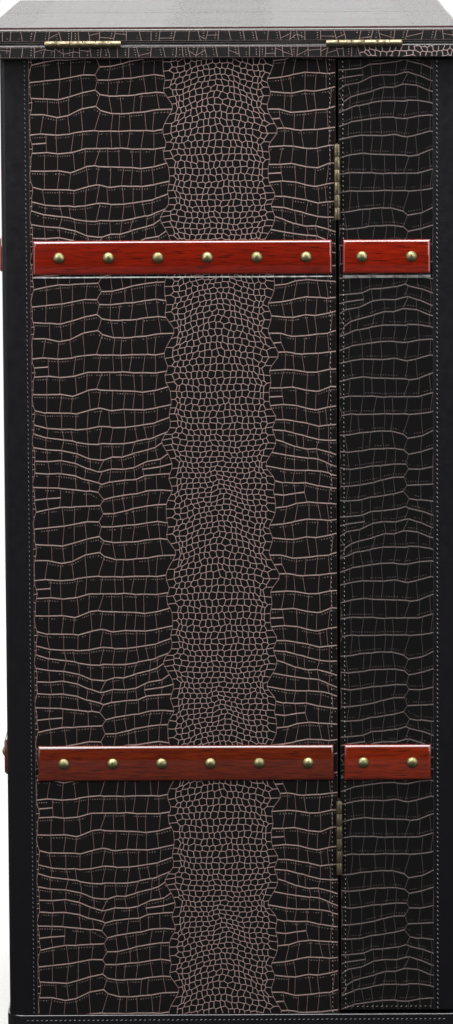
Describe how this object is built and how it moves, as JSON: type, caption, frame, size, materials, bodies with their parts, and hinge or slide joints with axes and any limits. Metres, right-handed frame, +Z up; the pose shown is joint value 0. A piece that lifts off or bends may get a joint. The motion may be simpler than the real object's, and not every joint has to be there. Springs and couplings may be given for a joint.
{
  "type": "bar cabinet",
  "caption": "Upright bar cabinet in embossed leather with wood slats, two deep swinging doors, and a top whose leaves fold out to the sides.",
  "frame": {"origin": "on the floor, below the middle of the closed cabinet's box, hinges and knobs included", "axes": "+Z up, the doors face -Y, +X to the right as seen from in front"},
  "size_m": [0.6344, 0.5236, 1.143],
  "materials": {
    "croc_leather": "crocodile-embossed leather over board, glossy",
    "smooth_leather": "smooth black leather, satin",
    "slat_wood": "red-brown wood, clear lacquer, with domed nails",
    "case_wood": "dark red-brown veneer, satin lacquer",
    "brass": "antique brass"
  },
  "bodies": {
    "cabinet": {"back_panel": "case_wood", "bottom_board": "case_wood", "counter_shelf": "case_wood", "door_catch": "brass", "left_corner_band": "smooth_leather", "left_door_lower_fixed_hinge": "brass", "left_door_upper_fixed_hinge": "brass", "left_lid_back_fixed_hinge": "brass", "left_lid_front_fixed_hinge": "brass", "left_lower_side_slat": "slat_wood", "left_side_panel": "case_wood", "left_upper_side_slat": "slat_wood", "lower_back_slat": "slat_wood", "lower_shelf": "case_wood", "plinth": "smooth_leather", "right_corner_band": "smooth_leather", "right_door_lower_fixed_hinge": "brass", "right_door_upper_fixed_hinge": "brass", "right_lid_back_fixed_hinge": "brass", "right_lid_front_fixed_hinge": "brass", "right_lower_side_slat": "slat_wood", "right_side_panel": "case_wood", "right_upper_side_slat": "slat_wood", "stemware_rack": "case_wood", "top_board": "croc_leather", "upper_back_slat": "slat_wood", "wine_cradle": "case_wood"},
    "left_door": {"left_door_panel": "croc_leather", "left_door_frame": "case_wood", "left_door_upper_shelf": "case_wood", "left_door_lower_shelf": "case_wood", "left_door_bottle_rail": "brass", "left_door_corner_band": "smooth_leather", "left_door_upper_side_slat": "slat_wood", "left_door_lower_side_slat": "slat_wood", "left_door_upper_front_slat": "slat_wood", "left_door_lower_front_slat": "slat_wood", "left_door_knob": "brass", "left_door_upper_moving_hinge": "brass", "left_door_lower_moving_hinge": "brass"},
    "right_door": {"right_door_panel": "croc_leather", "right_door_frame": "case_wood", "right_door_upper_shelf": "case_wood", "right_door_lower_shelf": "case_wood", "right_door_bottle_rail": "brass", "right_door_corner_band": "smooth_leather", "right_door_upper_side_slat": "slat_wood", "right_door_lower_side_slat": "slat_wood", "right_door_upper_front_slat": "slat_wood", "right_door_lower_front_slat": "slat_wood", "right_door_knob": "brass", "right_door_upper_moving_hinge": "brass", "right_door_lower_moving_hinge": "brass"},
    "left_leaf": {"left_leaf_board": "croc_leather", "left_lid_back_moving_hinge": "brass", "left_lid_front_moving_hinge": "brass"},
    "right_leaf": {"right_leaf_board": "croc_leather", "right_lid_back_moving_hinge": "brass", "right_lid_front_moving_hinge": "brass"}
  },
  "joints": [
    {"name": "left_door_hinge", "type": "hinge", "parent": "cabinet", "child": "left_door", "pos_m": [-0.2992, -0.10675, 0.62775], "axis": [0, 0, -1], "range_deg": [0, 140]},
    {"name": "right_door_hinge", "type": "hinge", "parent": "cabinet", "child": "right_door", "pos_m": [0.2992, -0.10675, 0.62775], "axis": [0, 0, 1], "range_deg": [0, 140]},
    {"name": "left_leaf_hinge", "type": "hinge", "parent": "cabinet", "child": "left_leaf", "pos_m": [-0.3136, 0.01175, 1.1257], "axis": [0, -1, 0], "range_deg": [0, 180]},
    {"name": "right_leaf_hinge", "type": "hinge", "parent": "cabinet", "child": "right_leaf", "pos_m": [0.3136, 0.01175, 1.1257], "axis": [0, 1, 0], "range_deg": [0, 180]}
  ]
}
